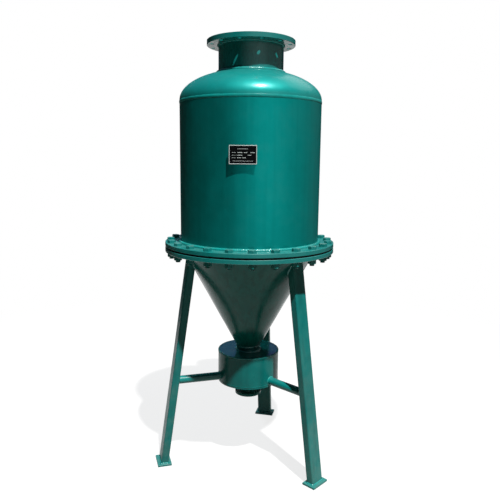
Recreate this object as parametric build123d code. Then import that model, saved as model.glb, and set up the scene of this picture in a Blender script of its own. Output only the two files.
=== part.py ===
"""Cyclone dirt separator on three legs: outlet on top, inlet at the back, dirt pot below."""

import os
from math import atan, cos

from build123d import *

# Vessel: shell, dished head and the bolted joint above the cone.
shell_od = 714.0
shell_wall = 8.0
shell_height = 719.0
head_rise = 152.0
head_straight = 9.0
body_flange_width = 80.5
body_flange_thick = 20.0
body_bolt_edge = 27.5
body_bolt_count = 24
body_bolt_hole = 26.0
body_bolt_phase = -88.0
gasket_thick = 9.0
gasket_recess = 6.0
weld_setback = 5.0

# Cone, the short pipe under it and the pot that collects the dirt.
cone_wall = 8.0
cone_height = 539.0
cone_top_inset = 3.0
cone_pipe_od = 127.0
cone_pipe_wall = 6.0
cone_pipe_length = 25.0
pot_od = 325.0
pot_wall_thick = 8.0
pot_plate_thick = 10.0
pot_height = 168.0
pot_clear_height = 421.0
pot_rim_radius = 3.0

# Drain under the pot.
drain_pipe_od = 60.0
drain_pipe_wall = 4.0
drain_pipe_length = 81.0
drain_flange_width = 40.0
drain_flange_thick = 16.0
drain_bolt_edge = 15.0
drain_bolt_count = 4
drain_bolt_hole = 14.0

# Main connections: outlet on top and inlet at the back take the same pipe and flange.
main_pipe_od = 325.0
main_pipe_wall = 8.0
main_flange_width = 57.5
main_flange_thick = 24.0
main_bolt_edge = 22.5
main_bolt_count = 12
main_bolt_hole = 22.0
outlet_rise = 290.0
finder_depth = 560.0
inlet_drop = 222.0
inlet_standoff = 163.0
inlet_tangent_inset = 12.0
flange_edge = 1.5

# Legs, foot plates and the struts that tie the pot to the legs.
leg_count = 3
leg_first_azimuth = -43.5
leg_width = 80.0
leg_depth = 40.0
leg_wall = 4.0
leg_corner_radius = 6.0
leg_top_inset = 38.0
leg_splay = 163.0
foot_width = 110.0
foot_depth = 72.0
foot_thick = 10.0
foot_edge = 1.0
strut_od = 42.0
strut_wall = 3.0
strut_above_pot_base = 29.0

# Nameplate on its folded bracket.
nameplate_width = 126.0
nameplate_height = 84.0
nameplate_thick = 1.5
nameplate_corner = 2.0
nameplate_azimuth = -95.0
nameplate_below_seam = 260.0
bracket_sheet = 2.0
bracket_standoff = 16.0
bracket_margin = 4.0
bracket_bend = 3.0

# Heights, worked out from the ground up.
pot_top = pot_clear_height + pot_height
cone_bottom = pot_top + cone_pipe_length
joint_bottom = cone_bottom + cone_height
lower_flange_bottom = joint_bottom - body_flange_thick
upper_flange_bottom = joint_bottom + gasket_thick
upper_flange_top = upper_flange_bottom + body_flange_thick
seam = upper_flange_bottom + shell_height
outlet_top = seam + head_straight + outlet_rise
drain_bottom = pot_clear_height - drain_pipe_length
inlet_axis_height = seam - inlet_drop
strut_height = pot_clear_height + strut_above_pot_base

# Radii that several pieces share.
shell_r = shell_od / 2
shell_bore_r = shell_r - shell_wall
main_r = main_pipe_od / 2
pot_r = pot_od / 2
cone_pipe_r = cone_pipe_od / 2
cone_top_r = shell_r - cone_top_inset
cone_taper = (cone_top_r - cone_pipe_r) / cone_height
cone_wall_flat = cone_wall / cos(atan(cone_taper))
inlet_offset = shell_r - inlet_tangent_inset - main_r
inlet_reach = shell_r + inlet_standoff
flange_r = shell_r + body_flange_width


def cone_r(height):
    """Outer radius of the cone at a height above the ground."""
    return cone_pipe_r + (height - cone_bottom) * cone_taper


leg_top_radius = cone_r(lower_flange_bottom) - leg_top_inset
leg_foot_radius = leg_top_radius + leg_splay
leg_lean = leg_splay / lower_flange_bottom
quarter_turn = 90


def turned(*profile):
    """Solid turned about the upright axis from (radius, height) corners."""
    face = make_face(Polyline(*[(r, 0, z) for r, z in profile], close=True))
    return revolve(face, Axis.Z)


def tube(outer_r, wall, bottom, top):
    """Upright pipe."""
    return turned((outer_r - wall, bottom), (outer_r, bottom), (outer_r, top), (outer_r - wall, top))


def round_bar(radius, bottom, top):
    """Upright round bar used for cutting."""
    return turned((0, bottom), (radius, bottom), (radius, top), (0, top))


def bolt_holes(circle_r, count, hole, bottom, top, phase):
    """Cutters for a ring of bolt holes."""
    cutter = round_bar(hole / 2, bottom, top)
    return [Rot(0, 0, phase + 360 * i / count) * Pos(circle_r, 0, 0) * cutter for i in range(count)]


def broken_rim(ring, outer_r):
    """Ring with both edges of its outer rim broken."""
    rims = [edge for edge in ring.edges().filter_by(GeomType.CIRCLE) if edge.radius == outer_r]
    return chamfer(rims, flange_edge)


def plate_flange(bore_r, width, thick, bolt_edge, count, hole):
    """Flat ring flange with its face at height zero, bolt holes off the centre lines."""
    outer_r = bore_r + width
    ring = broken_rim(tube(outer_r, width, -thick, 0), outer_r)
    return ring - bolt_holes(outer_r - bolt_edge, count, hole, -2 * thick, thick, 180 / count)


def body_drilled(ring):
    """Ring of the bolted body joint, drilled for the body bolts."""
    bottom = lower_flange_bottom - body_flange_thick
    top = upper_flange_top + body_flange_thick
    return ring - bolt_holes(
        flange_r - body_bolt_edge, body_bolt_count, body_bolt_hole, bottom, top, body_bolt_phase
    )


def dished_head():
    """Elliptical head with its short straight skirt, cut for the outlet pipe."""
    base = seam + head_straight
    inner_rise = head_rise - shell_wall
    outer = EllipticalCenterArc((0, 0), shell_r, head_rise, arc_size=quarter_turn)
    inner = EllipticalCenterArc((0, 0), shell_bore_r, inner_rise, arc_size=quarter_turn)
    crown = Line((0, head_rise), (0, inner_rise))
    edge_out = Line((shell_r, 0), (shell_r, -head_straight))
    edge_foot = Line((shell_r, -head_straight), (shell_bore_r, -head_straight))
    edge_in = Line((shell_bore_r, -head_straight), (shell_bore_r, 0))
    profile = make_face([outer, crown, inner, edge_in, edge_foot, edge_out])
    dish = revolve(Plane.XZ * profile, Axis.Z)
    return Pos(0, 0, base) * dish - round_bar(main_r, seam, outlet_top)


def lying(piece):
    """Upright piece laid along the inlet axis, its top toward the back."""
    return Pos(inlet_offset, 0, inlet_axis_height) * Rot(-quarter_turn, 0, 0) * piece


def leg_bar(width, depth, corner):
    """Rounded bar along a leg's lean, longer than the leg at both ends."""
    section = RectangleRounded(depth, width, corner)
    spare = body_flange_thick + foot_thick
    top = lower_flange_bottom + spare
    low = leg_foot_radius + leg_lean * spare
    high = leg_foot_radius - leg_lean * top
    return loft([Pos(low, 0, -spare) * section, Pos(high, 0, top) * section])


def leg():
    """Rectangular hollow leg, cut level at its foot and coped to the cone."""
    bar = leg_bar(leg_width, leg_depth, leg_corner_radius)
    hollow = leg_bar(leg_width - 2 * leg_wall, leg_depth - 2 * leg_wall, leg_corner_radius - leg_wall)
    cone_body = turned(
        (0, cone_bottom),
        (cone_pipe_r, cone_bottom),
        (cone_r(lower_flange_bottom), lower_flange_bottom),
        (0, lower_flange_bottom),
    )
    above = round_bar(leg_foot_radius, lower_flange_bottom, upper_flange_top)
    below = round_bar(leg_foot_radius + leg_width, -leg_width, foot_thick)
    return bar - hollow - cone_body - above - below


def foot_plate():
    """Flat plate under a leg."""
    plate = Pos(leg_foot_radius, 0, foot_thick / 2) * Box(foot_depth, foot_width, foot_thick)
    return chamfer(plate.edges().group_by(Axis.Z)[-1], foot_edge)


def strut():
    """Round tie from the pot wall to a leg, coped at both ends."""
    pipe = tube(strut_od / 2, strut_wall, 0, leg_foot_radius)
    pipe = Pos(0, 0, strut_height) * Rot(0, quarter_turn, 0) * pipe
    pot_body = round_bar(pot_r, pot_clear_height, pot_top)
    leg_body = leg_bar(leg_width, leg_depth, leg_corner_radius)
    lengths = pipe - pot_body - leg_body
    return lengths.solids().sort_by(Axis.X)[0]


def around(piece, index):
    """Piece of the leg set turned to its own leg."""
    return Rot(0, 0, leg_first_azimuth + 360 * index / leg_count) * piece


def on_shell(piece):
    """Piece drawn about the X axis, set at the nameplate's place on the shell."""
    return Pos(0, 0, seam - nameplate_below_seam) * Rot(0, 0, nameplate_azimuth) * piece


def nameplate():
    """Thin flat plate facing outward."""
    face = Plane.YZ * RectangleRounded(nameplate_width, nameplate_height, nameplate_corner)
    return Pos(shell_r + bracket_standoff, 0, 0) * extrude(face, nameplate_thick)


def nameplate_bracket():
    """Sheet folded to a channel, its two wings cut to the shell."""
    width = nameplate_width - 2 * bracket_margin
    height = nameplate_height - 2 * bracket_margin
    reach = bracket_standoff + nameplate_width / 2
    front = shell_r + bracket_standoff
    outer = Pos(front - reach / 2, 0, 0) * Box(reach, width, height)
    outer = fillet(outer.edges().filter_by(Axis.Z).group_by(Axis.X)[-1], bracket_bend)
    inner_width = width - 2 * bracket_sheet
    inner = Pos(front - bracket_sheet - reach / 2, 0, 0) * Box(reach, inner_width, 2 * height)
    vessel = round_bar(shell_r, -nameplate_height, nameplate_height)
    return outer - inner - vessel


main_bore_r = main_r - main_pipe_wall
cone_foot_r = cone_pipe_r - cone_wall_flat
cone_edge = joint_bottom - weld_setback
shell_foot = upper_flange_bottom + weld_setback
gasket_width = flange_r - gasket_recess - shell_bore_r
cone_flange = turned(
    (cone_r(lower_flange_bottom), lower_flange_bottom),
    (flange_r, lower_flange_bottom),
    (flange_r, joint_bottom),
    (cone_r(joint_bottom), joint_bottom),
)
shell_flange = tube(flange_r, body_flange_width, upper_flange_bottom, upper_flange_top)
gasket = tube(flange_r - gasket_recess, gasket_width, joint_bottom, upper_flange_bottom)

main_flange = plate_flange(
    main_r, main_flange_width, main_flange_thick, main_bolt_edge, main_bolt_count, main_bolt_hole
)
drain_flange = plate_flange(
    drain_pipe_od / 2,
    drain_flange_width,
    drain_flange_thick,
    drain_bolt_edge,
    drain_bolt_count,
    drain_bolt_hole,
)
inlet_bar = lying(round_bar(main_r, 0, inlet_reach))
inlet_bore = lying(round_bar(main_bore_r, 0, inlet_reach))
inlet_run = lying(tube(main_r, main_pipe_wall, 0, inlet_reach - weld_setback))
vessel_bar = round_bar(shell_r, upper_flange_top, seam)
lid_hole = round_bar(cone_pipe_r, pot_clear_height, cone_bottom)
floor_hole = round_bar(drain_pipe_od / 2, drain_bottom, pot_top)
pot_disc = round_bar(pot_r, pot_top - pot_plate_thick, pot_top)
pot_disc = fillet(pot_disc.edges().group_by(Axis.Z)[-1], pot_rim_radius)

pieces = {
    "outlet_flange": Pos(0, 0, outlet_top) * main_flange,
    "outlet_pipe": tube(main_r, main_pipe_wall, seam - finder_depth, outlet_top - weld_setback),
    "top_head": dished_head(),
    "shell": tube(shell_r, shell_wall, shell_foot, seam) - inlet_bore,
    "inlet_pipe": inlet_run - vessel_bar,
    "inlet_flange": lying(Pos(0, 0, inlet_reach) * main_flange),
    "upper_body_flange": body_drilled(broken_rim(shell_flange, flange_r)),
    "body_gasket": body_drilled(gasket),
    "lower_body_flange": body_drilled(broken_rim(cone_flange, flange_r)),
    "cone": turned(
        (cone_foot_r, cone_bottom),
        (cone_pipe_r, cone_bottom),
        (cone_r(cone_edge), cone_edge),
        (cone_r(cone_edge) - cone_wall_flat, cone_edge),
    ),
    "cone_outlet_pipe": tube(cone_pipe_r, cone_pipe_wall, pot_top - pot_plate_thick, cone_bottom),
    "pot_lid": pot_disc - lid_hole,
    "pot_wall": tube(
        pot_r, pot_wall_thick, pot_clear_height + pot_plate_thick, pot_top - pot_plate_thick
    ),
    "pot_floor": round_bar(pot_r, pot_clear_height, pot_clear_height + pot_plate_thick) - floor_hole,
    "drain_pipe": tube(
        drain_pipe_od / 2,
        drain_pipe_wall,
        drain_bottom + weld_setback,
        pot_clear_height + pot_plate_thick,
    ),
    "drain_flange": Pos(0, 0, drain_bottom + drain_flange_thick) * drain_flange,
    "nameplate": on_shell(nameplate()),
    "nameplate_bracket": on_shell(nameplate_bracket()),
}
for index, side in enumerate(["front", "back", "left"]):
    pieces["leg_" + side] = around(leg(), index)
    pieces["foot_plate_" + side] = around(foot_plate(), index)
    pieces["strut_" + side] = around(strut(), index)

# The whole stands with the middle of its plan box over the origin.
plan = Compound(children=[Compound(children=piece.solids()) for piece in pieces.values()]).bounding_box()
centred = Pos(-(plan.min.X + plan.max.X) / 2, -(plan.min.Y + plan.max.Y) / 2, 0)

os.makedirs("parts", exist_ok=True)
for name, piece in pieces.items():
    export_step(centred * piece, os.path.join("parts", name + ".step"))
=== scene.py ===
import math

import bpy
from mathutils import Euler, Matrix, Vector


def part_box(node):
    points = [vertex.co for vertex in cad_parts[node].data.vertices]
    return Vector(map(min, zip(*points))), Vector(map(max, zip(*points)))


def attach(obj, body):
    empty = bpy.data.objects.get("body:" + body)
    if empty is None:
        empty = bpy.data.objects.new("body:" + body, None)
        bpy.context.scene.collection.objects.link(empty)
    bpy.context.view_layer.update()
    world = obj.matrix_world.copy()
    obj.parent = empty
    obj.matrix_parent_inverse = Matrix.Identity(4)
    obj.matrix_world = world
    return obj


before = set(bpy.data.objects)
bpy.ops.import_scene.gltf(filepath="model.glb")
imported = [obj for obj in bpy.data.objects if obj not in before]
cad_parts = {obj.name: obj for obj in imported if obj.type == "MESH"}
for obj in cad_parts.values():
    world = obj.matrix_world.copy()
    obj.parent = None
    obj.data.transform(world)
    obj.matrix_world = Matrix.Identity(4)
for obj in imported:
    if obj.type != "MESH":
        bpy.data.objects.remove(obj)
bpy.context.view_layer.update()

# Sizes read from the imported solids, in metres.


def box_middle(node):
    low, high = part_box(node)
    return (low + high) / 2


def box_radius(node):
    low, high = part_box(node)
    return (high.x - low.x) / 2


def bottom_of(node):
    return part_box(node)[0].z


def top_of(node):
    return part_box(node)[1].z


AXIS = box_middle("upper_body_flange")
SHELL_R = box_radius("shell")
SEAM = top_of("shell")
BODY_FLANGE_R = box_radius("upper_body_flange")
BODY_TOP = top_of("upper_body_flange")
BODY_BOTTOM = bottom_of("lower_body_flange")
MAIN_PIPE_R = box_radius("outlet_pipe")
OUTLET_UNDER = bottom_of("outlet_flange")
INLET = box_middle("inlet_flange")
INLET_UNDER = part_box("inlet_flange")[0].y
CONE_PIPE_R = box_radius("cone_outlet_pipe")
CONE_BOTTOM = bottom_of("cone")
CONE_TAPER = (box_radius("cone") - CONE_PIPE_R) / (top_of("cone") - CONE_BOTTOM)
CONE_UNDER_R = CONE_PIPE_R + (BODY_BOTTOM - CONE_BOTTOM) * CONE_TAPER
POT_R = box_radius("pot_wall")
POT_TOP = top_of("pot_lid")
LID_JOINT = top_of("pot_wall")
FLOOR_JOINT = bottom_of("pot_wall")
POT_BASE = bottom_of("pot_floor")
DRAIN_PIPE_R = box_radius("drain_pipe")
DRAIN_FLANGE_TOP = top_of("drain_flange")
STRUT_R = (top_of("strut_left") - bottom_of("strut_left")) / 2
STRUT_Z = box_middle("strut_left").z
FOOT_TOP = top_of("foot_plate_left")
foot_middle = box_middle("foot_plate_front")
LEG_FOOT_R = math.hypot(foot_middle.x - AXIS.x, foot_middle.y - AXIS.y)

# Sizes that the boxes don't show, as the solids have them.

HEAD_STRAIGHT = 0.009
HEAD_RISE = 0.152
LEG_WIDTH = 0.080
LEG_DEPTH = 0.040
LEG_CORNER = 0.006
LEG_INSET = 0.163
LEG_LEAN = LEG_INSET / BODY_BOTTOM
LEG_AZIMUTHS = {"front": -43.5, "back": 76.5, "left": 196.5}
BODY_BOLTS = 24
BODY_BOLT_PHASE = -88.0
BODY_BOLT_EDGE = 0.0275
PLATE_AZIMUTH = -95.0
PLATE_WIDTH = 0.126
PLATE_HEIGHT = 0.084

# Signs of a rectangle's corners, turning left.
CORNERS = ((-1, -1), (1, -1), (1, 1), (-1, 1))


def at(radius, azimuth, height):
    """Point around the vessel's axis, azimuth in degrees from +X."""
    turn = math.radians(azimuth)
    return Vector((AXIS.x + radius * math.cos(turn), AXIS.y + radius * math.sin(turn), height))


# Node trees.

FLOAT = "NodeSocketFloat"
INTEGER = "NodeSocketInt"
COLOR = "NodeSocketColor"
GEOMETRY = "NodeSocketGeometry"
MATERIAL = "NodeSocketMaterial"
SHADER_TREE = "ShaderNodeTree"
GEOMETRY_TREE = "GeometryNodeTree"


def new_tree(name, kind, inputs, outputs):
    """Node group with its named sockets, and the sockets of its input and output nodes."""
    tree = bpy.data.node_groups.new(name, kind)
    for label, socket, value in inputs:
        made = tree.interface.new_socket(label, in_out="INPUT", socket_type=socket)
        if value is not None:
            made.default_value = value
    for label, socket in outputs:
        tree.interface.new_socket(label, in_out="OUTPUT", socket_type=socket)
    given = tree.nodes.new("NodeGroupInput").outputs
    return tree, given, tree.nodes.new("NodeGroupOutput").inputs


def add_node(tree, kind, settings=None, **inputs):
    """New node with its settings and inputs, each input a value or a socket to link from.

    An input goes by its label, with _ for a space, or by its place, as s0, s1 and so on.
    """
    node = tree.nodes.new(kind)
    for name, value in (settings or {}).items():
        setattr(node, name, value)
    for name, value in inputs.items():
        by_place = name[0] == "s" and name[1:].isdigit()
        socket = node.inputs[int(name[1:]) if by_place else name.replace("_", " ")]
        if isinstance(value, bpy.types.NodeSocket):
            tree.links.new(value, socket)
        else:
            socket.default_value = value
    return node


def result(tree, kind, settings=None, **inputs):
    """First output of a new node."""
    return add_node(tree, kind, settings, **inputs).outputs[0]


def do_math(tree, operation, *values):
    """Math node's result."""
    places = {f"s{i}": value for i, value in enumerate(values)}
    return result(tree, "ShaderNodeMath", {"operation": operation}, **places)


def times(tree, first, second):
    return do_math(tree, "MULTIPLY", first, second)


def plus(tree, first, second):
    return do_math(tree, "ADD", first, second)


def minus(tree, first, second):
    return do_math(tree, "SUBTRACT", first, second)


def vector_math(tree, operation, *values):
    """Vector math node's outputs."""
    places = {f"s{i}": value for i, value in enumerate(values)}
    return add_node(tree, "ShaderNodeVectorMath", {"operation": operation}, **places).outputs


def separated(tree, vector):
    """X, Y and Z of a vector."""
    return add_node(tree, "ShaderNodeSeparateXYZ", Vector=vector).outputs


def combined(tree, x=0.0, y=0.0, z=0.0):
    """Vector of X, Y and Z."""
    return result(tree, "ShaderNodeCombineXYZ", X=x, Y=y, Z=z)


def noise(tree, vector, scale, detail=3.0, roughness=0.55):
    """Noise value over a vector."""
    return result(
        tree, "ShaderNodeTexNoise", Vector=vector, Scale=scale, Detail=detail, Roughness=roughness
    )


def remap(tree, value, source, target=(0.0, 1.0)):
    """Smooth step from one range to another."""
    return result(
        tree,
        "ShaderNodeMapRange",
        {"interpolation_type": "SMOOTHSTEP"},
        Value=value,
        From_Min=source[0],
        From_Max=source[1],
        To_Min=target[0],
        To_Max=target[1],
    )


def mix_color(tree, factor, first, second, blend="MIX"):
    """Mixed colour of two colours."""
    settings = {"data_type": "RGBA", "blend_type": blend}
    return add_node(tree, "ShaderNodeMix", settings, s0=factor, s6=first, s7=second).outputs[2]


def object_point(tree):
    return tree.nodes.new("ShaderNodeTexCoord").outputs["Object"]


def stretched(tree, vector, scale):
    """Vector scaled along its axes."""
    return result(tree, "ShaderNodeMapping", Vector=vector, Scale=scale)


# Effects that the finishes share.

DARK_SHADE = (0.55, 0.60, 0.60, 1.0)
PALE_TINT = (0.30, 0.62, 0.56, 1.0)


def make_spray_tone():
    """Colour of sprayed enamel: soft clouds, thin runs and small specks."""
    tree, given, out = new_tree(
        "Spray tone",
        SHADER_TREE,
        [
            ("Color", COLOR, None),
            ("Clouds", FLOAT, 0.2),
            ("Runs", FLOAT, 0.1),
            ("Specks", FLOAT, 0.1),
        ],
        [("Color", COLOR)],
    )
    point = object_point(tree)
    broad = times(tree, noise(tree, point, scale=3.1, detail=4.0), 0.7)
    fine = times(tree, noise(tree, point, scale=21.0), 0.3)
    cloud = remap(tree, plus(tree, broad, fine), (0.32, 0.68), (-1.0, 1.0))
    tall = stretched(tree, point, (34.0, 34.0, 1.1))
    run = remap(tree, noise(tree, tall, scale=1.0, detail=4.0), (0.42, 0.70))
    speck = remap(tree, noise(tree, point, scale=310.0, detail=2.0), (0.68, 0.78))
    dark = mix_color(tree, 1.0, given["Color"], DARK_SHADE, "MULTIPLY")
    light = mix_color(tree, 0.10, given["Color"], PALE_TINT)
    lift = do_math(tree, "MAXIMUM", cloud, 0.0)
    sink = do_math(tree, "MAXIMUM", times(tree, cloud, -1.0), 0.0)
    color = mix_color(tree, times(tree, lift, given["Clouds"]), given["Color"], light)
    color = mix_color(tree, times(tree, sink, given["Clouds"]), color, dark)
    color = mix_color(tree, times(tree, run, given["Runs"]), color, dark)
    color = mix_color(tree, times(tree, speck, given["Specks"]), color, light)
    tree.links.new(color, out["Color"])
    return tree


def make_orange_peel():
    """Height of a sprayed coat over rolled plate: orange peel and slow waves."""
    tree, given, out = new_tree(
        "Orange peel",
        SHADER_TREE,
        [("Peel", FLOAT, 0.3), ("Waves", FLOAT, 0.3)],
        [("Height", FLOAT)],
    )
    point = object_point(tree)
    peel = noise(tree, point, scale=260.0, detail=2.0)
    waves = noise(tree, point, scale=9.0, detail=2.0, roughness=0.4)
    height = plus(tree, times(tree, peel, given["Peel"]), times(tree, waves, given["Waves"]))
    tree.links.new(height, out["Height"])
    return tree


def make_dust():
    """Mask of dust: on faces that look up, and rising from the ground."""
    tree, given, out = new_tree(
        "Settled dust",
        SHADER_TREE,
        [("On Top", FLOAT, 0.3), ("From Ground", FLOAT, 0.3), ("Reach", FLOAT, 0.5)],
        [("Mask", FLOAT)],
    )
    point = object_point(tree)
    normal = tree.nodes.new("ShaderNodeNewGeometry").outputs["Normal"]
    upward = remap(tree, separated(tree, normal)[2], (0.45, 0.95))
    low = remap(tree, separated(tree, point)[2], (0.0, given["Reach"]), (1.0, 0.0))
    patches = noise(tree, point, scale=16.0, detail=6.0, roughness=0.62)
    patches = remap(tree, patches, (0.36, 0.68), (0.15, 1.0))
    grains = noise(tree, point, scale=150.0, detail=3.0, roughness=0.6)
    grains = remap(tree, grains, (0.35, 0.70), (0.55, 1.0))
    top = times(tree, upward, given["On Top"])
    splash = times(tree, low, given["From Ground"])
    both = times(tree, do_math(tree, "MAXIMUM", top, splash), patches)
    tree.links.new(times(tree, both, grains), out["Mask"])
    return tree


def make_chips():
    """Mask of small chips and rubbed spots, thicker in scattered patches."""
    tree, given, out = new_tree(
        "Paint chips",
        SHADER_TREE,
        [("Amount", FLOAT, 0.3), ("Scale", FLOAT, 60.0)],
        [("Mask", FLOAT)],
    )
    point = object_point(tree)
    where = remap(tree, noise(tree, point, scale=7.0, detail=2.0), (0.45, 0.75))
    spots = noise(tree, point, scale=given["Scale"], detail=5.0, roughness=0.6)
    edge = minus(tree, 0.80, times(tree, where, 0.12))
    mask = remap(tree, spots, (edge, plus(tree, edge, 0.03)))
    tree.links.new(times(tree, mask, given["Amount"]), out["Mask"])
    return tree


SPRAY_TONE = make_spray_tone()
ORANGE_PEEL = make_orange_peel()
DUST = make_dust()
CHIPS = make_chips()

# Finishes.

# The frame, leg and pot tones are darker copies of the one green enamel. Their darkening is
# painted shade, matching parts that sit in shade, such as the outlet pipe under its flange, the
# cone, the pot and its neck, and the legs.
ENAMEL = (0.003, 0.290, 0.270, 1.0)
SHELL_ENAMEL = (0.003, 0.280, 0.262, 1.0)
FRAME_TONE_AND_PAINTED_SHADE = (0.003, 0.205, 0.194, 1.0)
LEG_TONE_AND_PAINTED_SHADE = (0.003, 0.180, 0.170, 1.0)
POT_TONE_AND_PAINTED_SHADE = (0.003, 0.168, 0.158, 1.0)
DUST_TONE = (0.30, 0.29, 0.25, 1.0)
PRIMER_TONE = (0.10, 0.055, 0.040, 1.0)
RUST_TONE = (0.045, 0.030, 0.026, 1.0)
PAINT_THICKNESS = 0.0012
ALONG_Y, ALONG_Z = 1, 2
LINING_EDGE = 0.0005

# Depths under the outer faces, within the walls, where the linings begin.
SHELL_SKIN = 0.0072
PIPE_SKIN = 0.004
NECK_SKIN = 0.003
DRAIN_SKIN = 0.002


def place_group(tree, group, **inputs):
    return add_node(tree, "ShaderNodeGroup", {"node_tree": group}, **inputs).outputs


def new_material(name):
    """Material, its tree and its Principled shader."""
    material = bpy.data.materials.new(name)
    material.use_nodes = True
    tree = material.node_tree
    return material, tree, tree.nodes["Principled BSDF"]


def bumped(tree, shader, height, distance):
    """Bump on a shader's normal."""
    bump = result(tree, "ShaderNodeBump", Height=height, Distance=distance, Strength=1.0)
    tree.links.new(bump, shader.inputs["Normal"])


def lined_inside(tree, centre, radius, along):
    """Mask of the faces within a radius of a pipe's centre line along one axis."""
    offset = vector_math(tree, "SUBTRACT", object_point(tree), tuple(centre))[0]
    across = tuple(0.0 if axis == along else 1.0 for axis in range(3))
    flat = vector_math(tree, "MULTIPLY", offset, across)[0]
    reach = vector_math(tree, "LENGTH", flat)["Value"]
    return remap(tree, reach, (radius - LINING_EDGE, radius + LINING_EDGE), (1.0, 0.0))


def enamel(
    name,
    tone=ENAMEL,
    gloss=0.26,
    clouds=0.5,
    runs=0.25,
    on_top=0.25,
    ground=0.0,
    reach=0.6,
    chips=0.25,
    flake=0.0,
    coat=0.0,
    coat_blur=0.12,
    shine=0.28,
    lining=None,
):
    """Green enamel with dust, runs and chips.

    The lining is a pipe's centre, inner radius and axis: inside it the face is bare and dull.
    """
    material, tree, shader = new_material(name)
    sprayed = place_group(tree, SPRAY_TONE, Color=tone, Clouds=clouds, Runs=runs, Specks=0.25)
    dust = place_group(tree, DUST, On_Top=on_top, From_Ground=ground, Reach=reach)["Mask"]
    chip = place_group(tree, CHIPS, Amount=chips, Scale=70.0)["Mask"]
    color = mix_color(tree, chip, sprayed["Color"], PRIMER_TONE)
    color = mix_color(tree, dust, color, DUST_TONE)
    smears = noise(tree, object_point(tree), scale=12.0, detail=5.0)
    rough = remap(tree, smears, (0.3, 0.7), (gloss - 0.03, gloss + 0.06))
    rough = plus(tree, rough, times(tree, dust, 0.55))
    rough = plus(tree, rough, times(tree, chip, 0.35))
    if lining is not None:
        inside = lined_inside(tree, *lining)
        blotches = noise(tree, object_point(tree), scale=18.0, detail=6.0)
        color = mix_color(tree, inside, color, mix_color(tree, blotches, PRIMER_TONE, RUST_TONE))
        rough = plus(tree, rough, times(tree, inside, 0.4))
    tree.links.new(color, shader.inputs["Base Color"])
    tree.links.new(rough, shader.inputs["Roughness"])
    shader.inputs["Specular IOR Level"].default_value = shine
    shader.inputs["Metallic"].default_value = flake
    shader.inputs["Coat Weight"].default_value = coat
    shader.inputs["Coat Roughness"].default_value = coat_blur
    peel = place_group(tree, ORANGE_PEEL, Peel=0.16, Waves=1.0)["Height"]
    bumped(tree, shader, minus(tree, peel, times(tree, chip, 0.5)), PAINT_THICKNESS)
    return material


def gasket_rubber():
    """Black sheet rubber, cut edge with a fine grain."""
    material, tree, shader = new_material("gasket rubber")
    layers = stretched(tree, object_point(tree), (1.0, 1.0, 5.0))
    grain = noise(tree, layers, scale=240.0, detail=4.0)
    color = mix_color(tree, grain, (0.002, 0.002, 0.002, 1.0), (0.010, 0.010, 0.009, 1.0))
    tree.links.new(color, shader.inputs["Base Color"])
    tree.links.new(remap(tree, grain, (0.3, 0.7), (0.7, 0.9)), shader.inputs["Roughness"])
    shader.inputs["Specular IOR Level"].default_value = 0.15
    bumped(tree, shader, grain, 0.0004)
    return material


def plate_black():
    """Black etched face of the nameplate, lightly scuffed."""
    material, tree, shader = new_material("nameplate black")
    point = object_point(tree)
    wiped = stretched(tree, point, (40.0, 40.0, 400.0))
    scuff = remap(tree, noise(tree, wiped, scale=1.0, detail=4.0), (0.55, 0.80), (0.0, 0.5))
    clouds = noise(tree, point, scale=60.0, detail=4.0)
    color = mix_color(tree, clouds, (0.002, 0.002, 0.003, 1.0), (0.005, 0.005, 0.007, 1.0))
    color = mix_color(tree, scuff, color, (0.02, 0.02, 0.02, 1.0))
    tree.links.new(color, shader.inputs["Base Color"])
    tree.links.new(remap(tree, clouds, (0.3, 0.7), (0.42, 0.56)), shader.inputs["Roughness"])
    shader.inputs["Specular IOR Level"].default_value = 0.03
    bumped(tree, shader, clouds, 0.0002)
    return material


def plate_aluminium():
    """Bare aluminium of the nameplate's border and rules."""
    material, tree, shader = new_material("nameplate aluminium")
    strokes = stretched(tree, object_point(tree), (900.0, 900.0, 60.0))
    brushed = noise(tree, strokes, scale=1.0)
    color = mix_color(tree, brushed, (0.50, 0.57, 0.57, 1.0), (0.72, 0.80, 0.80, 1.0))
    tree.links.new(color, shader.inputs["Base Color"])
    tree.links.new(remap(tree, brushed, (0.3, 0.7), (0.28, 0.50)), shader.inputs["Roughness"])
    shader.inputs["Metallic"].default_value = 0.35
    bumped(tree, shader, brushed, 0.0001)
    return material


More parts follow.
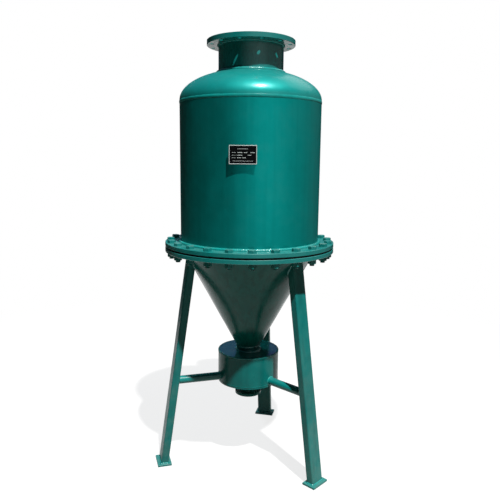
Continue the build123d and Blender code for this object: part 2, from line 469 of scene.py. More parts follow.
ENAMELS = {
    "shell enamel": dict(
        tone=SHELL_ENAMEL,
        gloss=0.34,
        clouds=0.18,
        runs=0.18,
        on_top=0.1,
        chips=0.2,
        flake=0.66,
        shine=0.0,
        lining=(AXIS, SHELL_R - SHELL_SKIN, ALONG_Z),
    ),
    "head enamel": dict(
        gloss=0.52,
        clouds=0.16,
        runs=0.1,
        on_top=0.06,
        chips=0.15,
        flake=0.46,
        coat=0.6,
        coat_blur=0.27,
        shine=0.05,
    ),
    # Its darker frame tone is painted shade, for the neck under the outlet flange.
    "outlet pipe enamel": dict(
        tone=FRAME_TONE_AND_PAINTED_SHADE, clouds=0.3, coat=0.25, lining=(AXIS, MAIN_PIPE_R - PIPE_SKIN, ALONG_Z)
    ),
    "inlet pipe enamel": dict(clouds=0.4, lining=(INLET, MAIN_PIPE_R - PIPE_SKIN, ALONG_Y)),
    # Its darker pot tone is painted shade, for the neck in the cone's shadow.
    "neck enamel": dict(
        tone=POT_TONE_AND_PAINTED_SHADE,
        gloss=0.3,
        clouds=0.4,
        shine=0.15,
        lining=(AXIS, CONE_PIPE_R - NECK_SKIN, ALONG_Z),
    ),
    # Its darker pot tone is painted shade, for the drain under the pot.
    "drain enamel": dict(
        tone=POT_TONE_AND_PAINTED_SHADE,
        gloss=0.34,
        clouds=0.4,
        shine=0.1,
        lining=(AXIS, DRAIN_PIPE_R - DRAIN_SKIN, ALONG_Z),
    ),
    "flange enamel": dict(
        tone=FRAME_TONE_AND_PAINTED_SHADE, gloss=0.30, clouds=0.4, runs=0.1, on_top=0.2, chips=0.5, coat=0.3
    ),
    # Its darker frame tone is painted shade, for the cone under the body flange.
    "cone enamel": dict(
        tone=FRAME_TONE_AND_PAINTED_SHADE, gloss=0.20, clouds=0.5, runs=0.7, on_top=0.2, chips=0.2, shine=0.17
    ),
    # The pot and lid take the darker pot tone: painted shade, for the pot under the cone.
    "pot enamel": dict(
        tone=POT_TONE_AND_PAINTED_SHADE, gloss=0.28, clouds=0.4, runs=0.3, on_top=0.22, chips=0.3, shine=0.15
    ),
    "lid enamel": dict(
        tone=POT_TONE_AND_PAINTED_SHADE, gloss=0.14, clouds=0.4, runs=0.0, on_top=0.08, chips=0.2, coat=0.6
    ),
    "strut enamel": dict(
        tone=FRAME_TONE_AND_PAINTED_SHADE,
        gloss=0.24,
        clouds=0.4,
        runs=0.1,
        on_top=0.08,
        chips=0.4,
        coat=0.12,
        shine=0.2,
    ),
    # Its darker leg tone is painted shade, for legs standing partly in the vessel's shadow. The
    # ground dust is separate.
    "leg enamel": dict(
        tone=LEG_TONE_AND_PAINTED_SHADE,
        gloss=0.32,
        clouds=0.5,
        runs=0.5,
        ground=0.20,
        reach=1.1,
        chips=0.6,
        shine=0.16,
    ),
    "foot enamel": dict(
        tone=FRAME_TONE_AND_PAINTED_SHADE,
        gloss=0.36,
        clouds=0.5,
        on_top=0.25,
        ground=0.20,
        reach=0.3,
        chips=0.8,
    ),
    "bolt enamel": dict(tone=FRAME_TONE_AND_PAINTED_SHADE, gloss=0.32, clouds=0.6, on_top=0.35, chips=0.9),
    "seam enamel": dict(gloss=0.36, clouds=0.4, on_top=0.1, chips=0.1, coat=0.12, shine=0.15),
    "weld enamel": dict(
        gloss=0.30, clouds=0.5, on_top=0.12, chips=0.1, coat=0.6, coat_blur=0.16
    ),
}
FINISHES = {name: enamel(name, **look) for name, look in ENAMELS.items()}
FINISHES["gasket rubber"] = gasket_rubber()
FINISHES["nameplate black"] = plate_black()
FINISHES["nameplate aluminium"] = plate_aluminium()

NODE_FINISHES = {
    "outlet_flange": "flange enamel",
    "outlet_pipe": "outlet pipe enamel",
    "top_head": "head enamel",
    "shell": "shell enamel",
    "inlet_pipe": "inlet pipe enamel",
    "inlet_flange": "flange enamel",
    "upper_body_flange": "flange enamel",
    "body_gasket": "gasket rubber",
    "lower_body_flange": "flange enamel",
    "cone": "cone enamel",
    "cone_outlet_pipe": "neck enamel",
    "pot_lid": "lid enamel",
    "pot_wall": "pot enamel",
    "pot_floor": "pot enamel",
    "drain_pipe": "drain enamel",
    "drain_flange": "drain enamel",
    "nameplate": "nameplate black",
    "nameplate_bracket": "shell enamel",
}
for side in LEG_AZIMUTHS:
    NODE_FINISHES["leg_" + side] = "leg enamel"
    NODE_FINISHES["strut_" + side] = "strut enamel"
    NODE_FINISHES["foot_plate_" + side] = "foot enamel"
for node, finish in NODE_FINISHES.items():
    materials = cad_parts[node].data.materials
    materials.clear()
    materials.append(FINISHES[finish])


# Pieces made with geometry nodes.


def add_piece(name, mesh):
    """Object of a finished mesh, riding on the one body."""
    piece = bpy.data.objects.new(name, mesh)
    bpy.context.scene.collection.objects.link(piece)
    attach(piece, "root")


def make_piece(name, points, edges, tree, values):
    """Runs a tree on a wire of points and keeps the result as a plain mesh."""
    wire = bpy.data.meshes.new(name + "_wire")
    wire.from_pydata([tuple(p) for p in points], edges, [])
    source = bpy.data.objects.new(name + "_source", wire)
    bpy.context.scene.collection.objects.link(source)
    modifier = source.modifiers.new(name, "NODES")
    modifier.node_group = tree
    for item in tree.interface.items_tree:
        if item.in_out == "INPUT" and item.name in values:
            modifier[item.identifier] = values[item.name]
    evaluated = source.evaluated_get(bpy.context.evaluated_depsgraph_get())
    mesh = bpy.data.meshes.new_from_object(evaluated)
    bpy.data.objects.remove(source)
    bpy.data.meshes.remove(wire)
    mesh.name = name
    add_piece(name, mesh)


def close_tree(tree, shape, finish, output):
    """Ends a tree with the shape made real and given its finish."""
    real = result(tree, "GeometryNodeRealizeInstances", Geometry=shape)
    done = result(tree, "GeometryNodeSetMaterial", Geometry=real, Material=finish)
    tree.links.new(done, output)


def position(tree):
    return tree.nodes.new("GeometryNodeInputPosition").outputs[0]


# Weld beads: height, half width, and the ripples' pitch and depth.

BEADS = {
    "seam": (0.0024, 0.0085, 0.010, 0.08),
    "heavy": (0.0080, 0.0080, 0.010, 0.14),
    "saddle": (0.0060, 0.0060, 0.009, 0.14),
    "flange": (0.0055, 0.0055, 0.007, 0.14),
    "leg": (0.0045, 0.0045, 0.007, 0.14),
    "neck": (0.0045, 0.0045, 0.006, 0.14),
    "cone foot": (0.0030, 0.0055, 0.006, 0.14),
    "rim": (0.0040, 0.0040, 0.006, 0.14),
    "flush": (0.0018, 0.0040, 0.006, 0.14),
    "foot": (0.0035, 0.0035, 0.006, 0.14),
    "thin": (0.0035, 0.0035, 0.005, 0.14),
}
BEAD_WANDER = 0.0012
BEAD_SIDES = 8
STEPS_PER_RIPPLE = 4.0


def make_weld_tree():
    """Bead along a wire: an oval section whose size ripples as a hand weld's does."""
    tree, given, out = new_tree(
        "Weld bead",
        GEOMETRY_TREE,
        [
            ("Wire", GEOMETRY, None),
            ("Bead Height", FLOAT, 0.004),
            ("Bead Half Width", FLOAT, 0.005),
            ("Ripple Pitch", FLOAT, 0.006),
            ("Ripple Depth", FLOAT, 0.12),
            ("Wander", FLOAT, 0.0006),
            ("Finish", MATERIAL, None),
        ],
        [("Bead", GEOMETRY)],
    )
    pitch = given["Ripple Pitch"]
    step = do_math(tree, "DIVIDE", pitch, STEPS_PER_RIPPLE)
    by_length = {"mode": "LENGTH"}
    line = result(tree, "GeometryNodeMeshToCurve", Mesh=given["Wire"])
    line = result(tree, "GeometryNodeResampleCurve", by_length, Curve=line, Length=step)
    line = result(tree, "GeometryNodeSetCurveNormal", {"mode": "Z_UP"}, Curve=line)
    length = tree.nodes.new("GeometryNodeSplineParameter").outputs["Length"]
    turn = do_math(tree, "FRACT", do_math(tree, "DIVIDE", length, pitch))
    arch = do_math(tree, "SINE", times(tree, turn, math.pi))
    ripple = times(tree, arch, given["Ripple Depth"])
    place = position(tree)
    swell = minus(tree, noise(tree, place, scale=24.0, detail=2.0), 0.5)
    size = plus(tree, plus(tree, 1.0, times(tree, swell, 0.35)), ripple)
    drift = add_node(tree, "ShaderNodeTexNoise", Vector=place, Scale=40.0).outputs["Color"]
    drift = vector_math(tree, "SUBTRACT", drift, (0.5, 0.5, 0.5))[0]
    by_scale = {"operation": "SCALE"}
    drift = result(tree, "ShaderNodeVectorMath", by_scale, s0=drift, Scale=given["Wander"])
    line = result(tree, "GeometryNodeSetPosition", Geometry=line, Offset=drift)
    line = result(tree, "GeometryNodeSetCurveRadius", Curve=line, Radius=size)
    oval = combined(tree, given["Bead Height"], given["Bead Half Width"], 1.0)
    section = result(tree, "GeometryNodeCurvePrimitiveCircle", Resolution=BEAD_SIDES, Radius=1.0)
    section = result(tree, "GeometryNodeTransform", Geometry=section, Scale=oval)
    radius = tree.nodes.new("GeometryNodeInputRadius").outputs[0]
    bead = result(
        tree,
        "GeometryNodeCurveToMesh",
        Curve=line,
        Profile_Curve=section,
        Scale=radius,
        Fill_Caps=True,
    )
    bead = result(tree, "GeometryNodeSetShadeSmooth", Geometry=bead)
    close_tree(tree, bead, given["Finish"], out["Bead"])
    return tree


WELD = make_weld_tree()


def weld(name, points, bead, finish="weld enamel"):
    """Bead along a closed run of points."""
    count = len(points)
    edges = [(i, (i + 1) % count) for i in range(count)]
    labels = ("Bead Height", "Bead Half Width", "Ripple Pitch", "Ripple Depth")
    values = dict(zip(labels, BEADS[bead]))
    values["Wander"] = BEAD_WANDER
    values["Finish"] = FINISHES[finish]
    make_piece(name, points, edges, WELD, values)


# Lines that the beads follow.

RING_STEPS = 180
STRUT_STEPS = 48
CORNER_STEPS = 3
LEG_LINE_STEP = 0.006
HALVINGS = 40


def ring(radius, height, out=0.0, up=0.0):
    """Level circle around the vessel's axis, moved out and up from a joint."""
    return [at(radius + out, 360.0 * i / RING_STEPS, height + up) for i in range(RING_STEPS)]


def head_height(radius):
    """Height of the head's outer face."""
    return SEAM + HEAD_STRAIGHT + HEAD_RISE * math.sqrt(1.0 - (radius / SHELL_R) ** 2)


def inlet_ring(y):
    """Upright circle around the inlet's axis."""
    points = []
    for i in range(RING_STEPS):
        turn = 2.0 * math.pi * i / RING_STEPS
        across, up = MAIN_PIPE_R * math.cos(turn), MAIN_PIPE_R * math.sin(turn)
        points.append(Vector((INLET.x + across, y, INLET.z + up)))
    return points


def inlet_saddle():
    """Line where the inlet pipe meets the shell."""
    points = inlet_ring(0.0)
    for point in points:
        point.y = AXIS.y + math.sqrt(SHELL_R**2 - (point.x - AXIS.x) ** 2)
    return points


def leg_corners():
    """Points round a leg's corners, as outward and sideways offsets from its middle."""
    points = []
    for sx, sy, start in ((1, 1, 0), (-1, 1, 90), (-1, -1, 180), (1, -1, 270)):
        for i in range(CORNER_STEPS + 1):
            turn = math.radians(start + 90.0 * i / CORNER_STEPS)
            outward = sx * (LEG_DEPTH / 2 - LEG_CORNER) + LEG_CORNER * math.cos(turn)
            sideways = sy * (LEG_WIDTH / 2 - LEG_CORNER) + LEG_CORNER * math.sin(turn)
            points.append((outward, sideways))
    return points


def finer(points, longest):
    """Closed run of points with long gaps filled."""
    filled = []
    for first, second in zip(points, points[1:] + points[:1]):
        parts = max(1, math.ceil(math.dist(first, second) / longest))
        for i in range(parts):
            filled.append(tuple(a + (b - a) * i / parts for a, b in zip(first, second)))
    return filled


LEG_OUTLINE = finer(leg_corners(), LEG_LINE_STEP)


def leg_point(azimuth, outward, sideways, height):
    """Point of a leg's face at a height."""
    turn = math.radians(azimuth)
    base = at(LEG_FOOT_R - LEG_LEAN * height + outward, azimuth, height)
    return base + Vector((-math.sin(turn), math.cos(turn), 0.0)) * sideways


def leg_cone_line(azimuth):
    """Line where a leg's faces meet the cone."""
    points = []
    for outward, sideways in LEG_OUTLINE:
        low, high = CONE_BOTTOM, BODY_BOTTOM
        for _ in range(HALVINGS):
            height = (low + high) / 2
            point = leg_point(azimuth, outward, sideways, height)
            reach = math.hypot(point.x - AXIS.x, point.y - AXIS.y)
            inside = reach < CONE_PIPE_R + (height - CONE_BOTTOM) * CONE_TAPER
            low, high = (low, height) if inside else (height, high)
        points.append(leg_point(azimuth, outward, sideways, low))
    return points


def pot_face(height, sideways):
    """Distance of the pot's wall from the axis, beside a strut's middle."""
    return math.sqrt(POT_R**2 - sideways**2)


def leg_inner_face(height, sideways):
    """Distance of a leg's inner face from the axis."""
    return LEG_FOOT_R - LEG_LEAN * height - LEG_DEPTH / 2


def strut_ring(azimuth, face):
    """Line where a strut meets a face."""
    turn = math.radians(azimuth)
    side = Vector((-math.sin(turn), math.cos(turn), 0.0))
    points = []
    for i in range(STRUT_STEPS):
        t = 2.0 * math.pi * i / STRUT_STEPS
        sideways, height = STRUT_R * math.cos(t), STRUT_Z + STRUT_R * math.sin(t)
        points.append(at(face(height, sideways), azimuth, height) + side * sideways)
    return points


weld("weld_head_seam", ring(SHELL_R, SEAM, out=-0.0008), "seam", "seam enamel")
weld("weld_outlet_neck", ring(MAIN_PIPE_R, head_height(MAIN_PIPE_R), out=0.0040), "heavy")
weld("weld_outlet_flange", ring(MAIN_PIPE_R, OUTLET_UNDER, out=0.0005, up=-0.0005), "flange")
weld("weld_shell_flange", ring(SHELL_R, BODY_TOP, out=0.0040, up=0.0020), "heavy")
weld("weld_cone_flange", ring(CONE_UNDER_R, BODY_BOTTOM, out=0.001, up=-0.001), "flange")
weld("weld_cone_foot", ring(CONE_PIPE_R, CONE_BOTTOM), "cone foot")
weld("weld_pot_neck", ring(CONE_PIPE_R, POT_TOP, out=0.0020, up=0.0010), "neck")
weld("weld_pot_lid", ring(POT_R, LID_JOINT, out=-0.0012), "flush", "pot enamel")
weld("weld_pot_rim", ring(POT_R, POT_TOP, out=-0.0032, up=-0.0032), "rim", "seam enamel")
weld("weld_pot_floor", ring(POT_R, FLOOR_JOINT, out=-0.0012), "flush", "pot enamel")
weld("weld_drain_pipe", ring(DRAIN_PIPE_R, POT_BASE, out=0.0015, up=-0.0010), "thin")
weld("weld_drain_flange", ring(DRAIN_PIPE_R, DRAIN_FLANGE_TOP, out=0.0015, up=0.0010), "thin")
weld("weld_inlet_flange", inlet_ring(INLET_UNDER - 0.0005), "flange")
weld("weld_inlet_shell", inlet_saddle(), "saddle")
for side, azimuth in LEG_AZIMUTHS.items():
    foot_line = [leg_point(azimuth, out, sideways, FOOT_TOP) for out, sideways in LEG_OUTLINE]
    weld("weld_foot_" + side, foot_line, "foot")
    weld("weld_leg_" + side, leg_cone_line(azimuth), "leg")
    weld("weld_strut_pot_" + side, strut_ring(azimuth, pot_face), "thin")
    weld("weld_strut_leg_" + side, strut_ring(azimuth, leg_inner_face), "thin")


# Body bolts.

# A hexagon block starts as a drum whose ends have a ring at half their radius. That ring
# becomes the flat face, and the rim becomes the six sides.
HEX_POINTS = 36
RIM_FROM = 0.75
HEX_FACE_SHARE = 0.475
CHAMFER_SLOPE = math.tan(math.pi / 6.0)
SIXTH_TURN = math.pi / 3.0
THREAD_POINTS = 20
THREAD_RINGS = 24
THREAD_DEPTH_SHARE = 0.10


def hex_block(tree, flats, height):
    """Hexagon block on its base, its far edge turned to a chamfer."""
    disc = result(
        tree,
        "GeometryNodeMeshCylinder",
        Vertices=HEX_POINTS,
        Fill_Segments=2,
        Radius=1.0,
        Depth=2.0,
    )
    x, y, z = separated(tree, position(tree))
    turn = do_math(tree, "ARCTAN2", y, x)
    part = do_math(tree, "FRACT", do_math(tree, "DIVIDE", turn, SIXTH_TURN))
    lean = times(tree, minus(tree, part, 0.5), SIXTH_TURN)
    rim = do_math(tree, "DIVIDE", times(tree, flats, 0.5), do_math(tree, "COSINE", lean))
    face = times(tree, flats, HEX_FACE_SHARE)
    reach = do_math(tree, "SQRT", plus(tree, times(tree, x, x), times(tree, y, y)))
    outer = do_math(tree, "GREATER_THAN", reach, RIM_FROM)
    upper = do_math(tree, "GREATER_THAN", z, 0.0)
    radius = plus(tree, face, times(tree, outer, minus(tree, rim, face)))
    drop = times(tree, minus(tree, radius, face), CHAMFER_SLOPE)
    place = combined(
        tree,
        times(tree, radius, do_math(tree, "COSINE", turn)),
        times(tree, radius, do_math(tree, "SINE", turn)),
        times(tree, upper, minus(tree, height, drop)),
    )
    return result(tree, "GeometryNodeSetPosition", Geometry=disc, Position=place)


def raised(tree, shape, height):
    """Shape moved up by a height."""
    lift = combined(tree, z=height)
    return result(tree, "GeometryNodeTransform", Geometry=shape, Translation=lift)


def threaded_end(tree, radius, length, pitch):
    """Bolt end with its grooves, its middle at the origin."""
    end = result(
        tree,
        "GeometryNodeMeshCylinder",
        Vertices=THREAD_POINTS,
        Side_Segments=THREAD_RINGS,
        Radius=radius,
        Depth=length,
    )
    place = position(tree)
    groove = do_math(tree, "FRACT", do_math(tree, "DIVIDE", separated(tree, place)[2], pitch))
    groove = do_math(tree, "ABSOLUTE", minus(tree, times(tree, groove, 2.0), 1.0))
    thin = minus(tree, 1.0, times(tree, groove, THREAD_DEPTH_SHARE))
    cut = vector_math(tree, "MULTIPLY", place, combined(tree, thin, thin, 1.0))[0]
    return result(tree, "GeometryNodeSetPosition", Geometry=end, Position=cut)


def make_bolt_tree():
    """Hexagon bolts on the wire's points: head above, shank between, nut and bolt end below."""
    tree, given, out = new_tree(
        "Body bolts",
        GEOMETRY_TREE,
        [
            ("Places", GEOMETRY, None),
            ("Flats", FLOAT, 0.036),
            ("Head Height", FLOAT, 0.015),
            ("Nut Height", FLOAT, 0.0215),
            ("Thread", FLOAT, 0.024),
            ("Thread Pitch", FLOAT, 0.003),
            ("Grip", FLOAT, 0.046),
            ("Bolt End", FLOAT, 0.009),
            ("Seed", INTEGER, 4),
            ("Finish", MATERIAL, None),
        ],
        [("Bolts", GEOMETRY)],
    )
    grip = given["Grip"]
    head = hex_block(tree, given["Flats"], given["Head Height"])
    nut = hex_block(tree, given["Flats"], given["Nut Height"])
    upside_down = Euler((math.pi, 0.0, 0.0))
    nut = result(tree, "GeometryNodeTransform", Geometry=nut, Rotation=upside_down)
    nut = raised(tree, nut, times(tree, grip, -1.0))
    radius = times(tree, given["Thread"], 0.5)
    shank = result(
        tree, "GeometryNodeMeshCylinder", Vertices=THREAD_POINTS, Radius=radius, Depth=grip
    )
    shank = raised(tree, shank, times(tree, grip, -0.5))
    end_length = times(tree, given["Bolt End"], 2.0)
    end = threaded_end(tree, radius, end_length, given["Thread Pitch"])
    end = raised(tree, end, times(tree, plus(tree, grip, given["Nut Height"]), -1.0))
    bolt = tree.nodes.new("GeometryNodeJoinGeometry")
    for shape in (head, shank, nut, end):
        tree.links.new(shape, bolt.inputs[0])
    turn = add_node(
        tree,
        "FunctionNodeRandomValue",
        {"data_type": "FLOAT"},
        Seed=given["Seed"],
        s2=0.0,
        s3=SIXTH_TURN,
    )
    dots = result(tree, "GeometryNodeMeshToPoints", Mesh=given["Places"])
    placed = result(
        tree,
        "GeometryNodeInstanceOnPoints",
        Points=dots,
        Instance=bolt.outputs[0],
        Rotation=combined(tree, z=turn.outputs[1]),
    )
    close_tree(tree, placed, given["Finish"], out["Bolts"])
    return tree


bolt_circle = BODY_FLANGE_R - BODY_BOLT_EDGE
bolt_places = [
    at(bolt_circle, BODY_BOLT_PHASE + 360.0 * i / BODY_BOLTS, BODY_TOP) for i in range(BODY_BOLTS)
]
bolt_values = {"Grip": BODY_TOP - BODY_BOTTOM, "Finish": FINISHES["bolt enamel"]}
make_piece("body_bolts", bolt_places, [], make_bolt_tree(), bolt_values)


# Nameplate: border, ruled lines and rivets on the flat plate.

plate_turn = math.radians(PLATE_AZIMUTH)
plate_out = Vector((math.cos(plate_turn), math.sin(plate_turn), 0.0))
plate_side = Vector((-math.sin(plate_turn), math.cos(plate_turn), 0.0))
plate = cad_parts["nameplate"]
plate_face = max(
    (plate.matrix_world @ vertex.co - AXIS).dot(plate_out) for vertex in plate.data.vertices
)
plate_middle = at(plate_face, PLATE_AZIMUTH, box_middle("nameplate").z)
half_width, half_height = PLATE_WIDTH / 2, PLATE_HEIGHT / 2

PLATE_SINK = 0.0002
UPRIGHT_SHARE = 0.6
BORDER_WIDTH = 0.0030
BORDER_THICKNESS = 0.0008
RULE_THICKNESS = 0.0003
RIVET_INSET = 0.008
RIVET_RADIUS = 0.0022

# Sides of each line: left, right, low and high. A row has a thin label line and its dashes.
TITLE_LINE = (-0.024, 0.024, 0.0250, 0.0262)
FOOT_LINE = (-0.046, 0.046, -0.0285, -0.0275)
LABEL_LINE = (-0.050, -0.032, 0.0005, 0.0015)
DASH_HEIGHT = 0.0024
DASH_ROWS = {
    0.0080: ((-0.024, -0.002), (0.004, 0.020), (0.034, 0.054)),
    -0.0035: ((-0.026, -0.002), (0.022, 0.038)),
    -0.0150: ((-0.026, -0.008), (-0.003, 0.014)),
}


def on_plate(across, up, out=0.0):
    """Point on the nameplate's face."""
    return plate_middle + plate_side * across + Vector((0.0, 0.0, up)) + plate_out * out


def plate_piece(name, points, faces):
    """Piece of bare aluminium on the nameplate."""
    mesh = bpy.data.meshes.new(name)
    mesh.from_pydata([tuple(p) for p in points], [], faces)
    mesh.materials.append(FINISHES["nameplate aluminium"])
    add_piece(name, mesh)


def raised_border(name, width, thickness):
    """Closed frame around the nameplate's face, with sloped edges and mitred corners."""
    upright = thickness * UPRIGHT_SHARE
    section = (
        (0.0, -PLATE_SINK),
        (0.0, upright),
        (thickness, thickness),
        (width - thickness, thickness),
        (width, upright),
        (width, -PLATE_SINK),
    )
    points, faces = [], []
    for sx, sy in CORNERS:
        for inset, out in section:
            points.append(on_plate(sx * (half_width - inset), sy * (half_height - inset), out))
    rows = len(section)
    for corner in range(4):
        first, second = corner * rows, (corner + 1) % 4 * rows
        for i in range(rows):
            j = (i + 1) % rows
            faces.append((first + i, second + i, second + j, first + j))
    plate_piece(name, points, faces)


def raised_strips(name, strips, thickness):
    """Thin raised bars on the nameplate's face, each given by its sides, with sloped edges."""
    points, faces = [], []
    for left, right, low, high in strips:
        slope = min(thickness, (right - left) / 4, (high - low) / 4)
        tiers = ((0.0, -PLATE_SINK), (0.0, thickness * UPRIGHT_SHARE), (slope, thickness))
        base = len(points)
        for inset, out in tiers:
            points += [
                on_plate(left + inset, low + inset, out),
                on_plate(right - inset, low + inset, out),
                on_plate(right - inset, high - inset, out),
                on_plate(left + inset, high - inset, out),
            ]
        middle, top = base + 4, base + 8
        for lower, upper in ((base, middle), (middle, top)):
            for i in range(4):
                j = (i + 1) % 4
                faces.append((lower + i, lower + j, upper + j, upper + i))
        faces.append((top, top + 1, top + 2, top + 3))
        faces.append((base + 3, base + 2, base + 1, base))
    plate_piece(name, points, faces)


def make_rivet_tree():
    """Low domed rivets on the wire's points, facing out of the plate."""
    tree, given, out = new_tree(
        "Nameplate rivets",
        GEOMETRY_TREE,
        [
            ("Places", GEOMETRY, None),
            ("Head", FLOAT, 0.003),
            ("Rise", FLOAT, 0.4),
            ("Finish", MATERIAL, None),
        ],
        [("Rivets", GEOMETRY)],
    )
    dome = result(
        tree, "GeometryNodeMeshUVSphere", Segments=16, Rings=10, Radius=given["Head"]
    )
    squash = combined(tree, 1.0, 1.0, given["Rise"])
    dome = result(tree, "GeometryNodeTransform", Geometry=dome, Scale=squash)
    dome = result(tree, "GeometryNodeSetShadeSmooth", Geometry=dome)
    dots = result(tree, "GeometryNodeMeshToPoints", Mesh=given["Places"])
    facing = Euler((math.pi / 2, 0.0, plate_turn + math.pi / 2))
    placed = result(
        tree, "GeometryNodeInstanceOnPoints", Points=dots, Instance=dome, Rotation=facing
    )
    close_tree(tree, placed, given["Finish"], out["Rivets"])
    return tree


raised_border("nameplate_border", BORDER_WIDTH, BORDER_THICKNESS)
rules = [TITLE_LINE, FOOT_LINE]
for row, dashes in DASH_ROWS.items():
    left, right, low, high = LABEL_LINE
    rules.append((left, right, row + low, row + high))
    rules += [(first, last, row, row + DASH_HEIGHT) for first, last in dashes]
raised_strips("nameplate_rules", rules, RULE_THICKNESS)
rivet_places = [
    on_plate(sx * (half_width - RIVET_INSET), sy * (half_height - RIVET_INSET))
    for sx in (-1, 1)
    for sy in (-1, 1)
]
rivet_values = {"Head": RIVET_RADIUS, "Finish": FINISHES["nameplate black"]}
make_piece(
    "nameplate_rivets", rivet_places, [], make_rivet_tree(), rivet_values
)


# Floor, backdrop and light.

WHITE = (1.0, 1.0, 1.0, 1.0)
FLOOR_HALF = 40.0
SCREEN_RADIUS = 6.5
SCREEN_FOOT = 0.02
SCREEN_TOP = 5.2
SCREEN_SIDES = 48
SCREEN_STEP = 360.0 / SCREEN_SIDES
SCREEN_GAP = (75.0, 105.0)
SCREEN_GAP_TOP = 1.6
TENT_TOP = 9.0
PANEL_RADIUS = 6.3
PANEL_STEPS = 24
LAMP_TARGET = Vector((AXIS.x, AXIS.y, 1.2))


def seen_factor(tree):
    """One for what the camera sees, straight or in a reflection or through glass."""
    path = tree.nodes.new("ShaderNodeLightPath").outputs
    seen = do_math(tree, "MAXIMUM", path["Is Camera Ray"], path["Is Glossy Ray"])
    return do_math(tree, "MAXIMUM", seen, path["Is Transmission Ray"])


def bare_material(name):
    """Material with an empty tree."""
    material = bpy.data.materials.new(name)
    material.use_nodes = True
    material.node_tree.nodes.clear()
    return material, material.node_tree


def show(tree, surface, kind="ShaderNodeOutputMaterial"):
    """Ends a shader tree with its surface."""
    tree.links.new(surface, tree.nodes.new(kind).inputs["Surface"])


def mixed_shader(tree, factor, first, second):
    return result(tree, "ShaderNodeMixShader", s0=factor, s1=first, s2=second)


def pale_floor():
    """Pale floor that shows near white and keeps a soft shadow."""
    material, tree = bare_material("pale floor")
    point = object_point(tree)
    speckle = noise(tree, point, scale=3.0, detail=5.0)
    tone = mix_color(tree, speckle, (0.12, 0.098, 0.072, 1.0), (0.15, 0.125, 0.096, 1.0))
    matte = result(tree, "ShaderNodeBsdfDiffuse", Color=tone)
    bright = result(tree, "ShaderNodeBsdfDiffuse", Color=(0.92, 0.92, 0.92, 1.0))
    glow = result(tree, "ShaderNodeEmission", Color=WHITE, Strength=1.0)
    reach = vector_math(tree, "LENGTH", point)["Value"]
    fade = remap(tree, reach, (0.8, 3.6), (0.80, 1.0))
    shown = mixed_shader(tree, fade, bright, glow)
    show(tree, mixed_shader(tree, seen_factor(tree), matte, shown))
    return material


def stage_mesh(name, points, faces, material):
    mesh = bpy.data.meshes.new(name)
    mesh.from_pydata([tuple(p) for p in points], [], faces)
    mesh.materials.append(material)
    piece = bpy.data.objects.new(name, mesh)
    bpy.context.scene.collection.objects.link(piece)
    return piece


def studio_screen():
    """Dark round screen, unseen by the camera, that keeps the gloss deep; low gap at the back."""
    material, tree, shader = new_material("studio screen")
    weave = noise(tree, object_point(tree), scale=30.0)
    color = mix_color(tree, weave, (0.02, 0.02, 0.02, 1.0), (0.035, 0.035, 0.035, 1.0))
    tree.links.new(color, shader.inputs["Base Color"])
    shader.inputs["Roughness"].default_value = 1.0
    shader.inputs["Specular IOR Level"].default_value = 0.0
    points, faces = [], []
    for i in range(SCREEN_SIDES):
        first, second = SCREEN_STEP * i, SCREEN_STEP * (i + 1)
        low = SCREEN_GAP_TOP if SCREEN_GAP[0] <= first < SCREEN_GAP[1] else SCREEN_FOOT
        corners = ((first, low), (second, low), (second, SCREEN_TOP), (first, SCREEN_TOP))
        faces.append(tuple(range(len(points), len(points) + 4)))
        points += [at(SCREEN_RADIUS, azimuth, height) for azimuth, height in corners]
    screen = stage_mesh("studio_screen", points, faces, material)
    screen.visible_camera = False


def level_round(tree, stops):
    """Level over the azimuth about the vessel's axis, eased from stop to stop."""
    x, y, _ = separated(tree, object_point(tree))
    turn = do_math(tree, "ARCTAN2", minus(tree, y, AXIS.y), minus(tree, x, AXIS.x))
    azimuth = do_math(tree, "DEGREES", turn)
    level = 0.0
    for (first, low), (last, high) in zip(stops, stops[1:]):
        level = plus(tree, level, remap(tree, azimuth, (first, last), (0.0, high - low)))
    return level


def reflected_panel(name, points, faces, color, strength=1.0, stops=None):
    """Plain glowing panel that shows in reflections and nowhere else."""
    material, tree = bare_material(name.replace("_", " "))
    if stops:
        strength = level_round(tree, stops)
    show(tree, result(tree, "ShaderNodeEmission", Color=color, Strength=strength))
    panel = stage_mesh(name, points, faces, material)
    panel.visible_camera = False
    panel.visible_diffuse = False
    panel.visible_shadow = False


def curved_panel(name, span, lower, upper, color, strength=1.0, stops=None):
    """Reflected panel bent round the vessel over a span of azimuths.

    Its lower and upper edges are given by radius and height.
    """
    first, last = span
    points, faces = [], []
    for i in range(PANEL_STEPS + 1):
        azimuth = first + (last - first) * i / PANEL_STEPS
        points += [at(lower[0], azimuth, lower[1]), at(upper[0], azimuth, upper[1])]
    for i in range(PANEL_STEPS):
        faces.append((2 * i, 2 * i + 2, 2 * i + 3, 2 * i + 1))
    reflected_panel(name, points, faces, color, strength, stops)


def studio_ceiling():
    """Blue tent over the screen, seen in reflections."""
    points = [at(0.0, 0.0, TENT_TOP)]
    points += [at(SCREEN_RADIUS, SCREEN_STEP * i, SCREEN_TOP) for i in range(SCREEN_SIDES)]
    faces = [(0, i + 1, (i + 1) % SCREEN_SIDES + 1) for i in range(SCREEN_SIDES)]
    reflected_panel("studio_ceiling", points, faces, (0.36, 0.60, 1.0, 1.0), 0.19)


def studio_world():
    """Weak sky fill for the light, plain white for what is seen."""
    world = bpy.data.worlds.new("studio")
    bpy.context.scene.world = world
    world.use_nodes = True
    tree = world.node_tree
    tree.nodes.clear()
    sky_fill = (0.70, 0.86, 1.0, 1.0)
    fill = result(tree, "ShaderNodeBackground", Color=sky_fill, Strength=0.085)
    white = result(tree, "ShaderNodeBackground", Color=WHITE, Strength=1.0)
    both = mixed_shader(tree, seen_factor(tree), fill, white)
    show(tree, both, "ShaderNodeOutputWorld")


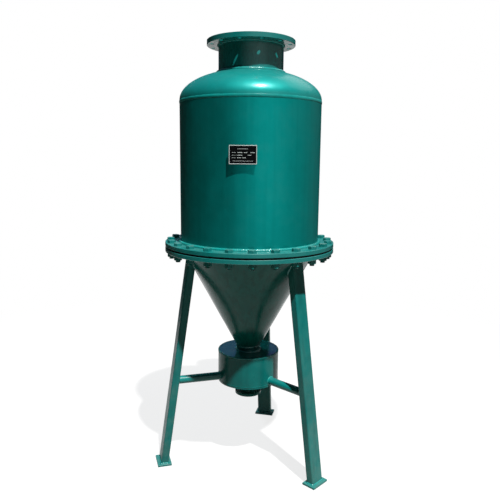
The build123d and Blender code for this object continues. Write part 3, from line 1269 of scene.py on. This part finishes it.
def area_lamp(name, azimuth, elevation, distance, size, watts, color):
    """Square soft lamp aimed at the middle of the vessel."""
    lamp = bpy.data.lights.new(name, "AREA")
    lamp.size = size
    lamp.energy = watts
    lamp.color = color
    lift = math.radians(elevation)
    height = LAMP_TARGET.z + distance * math.sin(lift)
    away = at(distance * math.cos(lift), azimuth, height)
    aim = (away - LAMP_TARGET).to_track_quat("Z", "Y").to_matrix().to_4x4()
    holder = bpy.data.objects.new(name, lamp)
    holder.matrix_world = Matrix.Translation(away) @ aim
    bpy.context.scene.collection.objects.link(holder)
    return holder


floor_corners = [(sx * FLOOR_HALF, sy * FLOOR_HALF, 0.0) for sx, sy in CORNERS]
stage_mesh("floor", floor_corners, [(0, 1, 2, 3)], pale_floor())
studio_screen()
studio_ceiling()
curved_panel(
    "sky_panel",
    span=(72.0, 108.0),
    lower=(PANEL_RADIUS, 2.4),
    upper=(PANEL_RADIUS, 4.0),
    color=(0.23, 0.38, 1.0, 1.0),
    strength=0.28,
)
curved_panel(
    "side_panel",
    span=(-135.0, 62.0),
    lower=(PANEL_RADIUS, SCREEN_FOOT),
    upper=(PANEL_RADIUS, 4.8),
    color=WHITE,
    stops=[(-135.0, 0.0), (-60.0, 1.0), (-20.0, 0.48), (14.0, 0.28), (62.0, 0.0)],
)
curved_panel(
    "dark_mat",
    span=(-180.0, 180.0),
    lower=(3.2, 0.01),
    upper=(6.4, 0.01),
    color=(0.03, 0.03, 0.03, 1.0),
)
curved_panel(
    "glow_panel", span=(0.0, 75.0), lower=(6.0, 5.2), upper=(3.2, 6.8), color=WHITE, strength=1.3
)
studio_world()
area_lamp(
    "key_lamp",
    azimuth=-64.0,
    elevation=63.0,
    distance=40.0,
    size=0.9,
    watts=27000.0,
    color=(1.0, 0.98, 0.95),
)
back_lamp = area_lamp(
    "back_lamp",
    azimuth=110.0,
    elevation=35.0,
    distance=6.0,
    size=2.0,
    watts=150.0,
    color=(0.85, 0.93, 1.0),
)
back_lamp.visible_glossy = False

# Camera at the photograph's place, found from the outlines.

PITCH, ROLL, YAW = math.radians(9.2728), math.radians(-0.5427), math.radians(0.0750)
CAMERA_DISTANCE = 2.8548
CAMERA_HEIGHT = 1.5959
LENS_LENGTH = 39.478
SENSOR_WIDTH = 36.0

ahead = math.cos(PITCH)
forward = Vector((math.sin(YAW) * ahead, math.cos(YAW) * ahead, -math.sin(PITCH)))
level = Vector((math.cos(YAW), -math.sin(YAW), 0.0))
down = forward.cross(level)
right = level * math.cos(ROLL) + down * math.sin(ROLL)
below = down * math.cos(ROLL) - level * math.sin(ROLL)
lens = bpy.data.cameras.new("camera")
lens.lens = LENS_LENGTH
lens.sensor_width = SENSOR_WIDTH
camera = bpy.data.objects.new("camera", lens)
stand = Vector((AXIS.x, AXIS.y - CAMERA_DISTANCE, CAMERA_HEIGHT))
turned = Matrix((right, -below, -forward)).transposed()
camera.matrix_world = Matrix.Translation(stand) @ turned.to_4x4()
bpy.context.scene.collection.objects.link(camera)
bpy.context.scene.camera = camera
bpy.context.scene.view_settings.view_transform = "Standard"
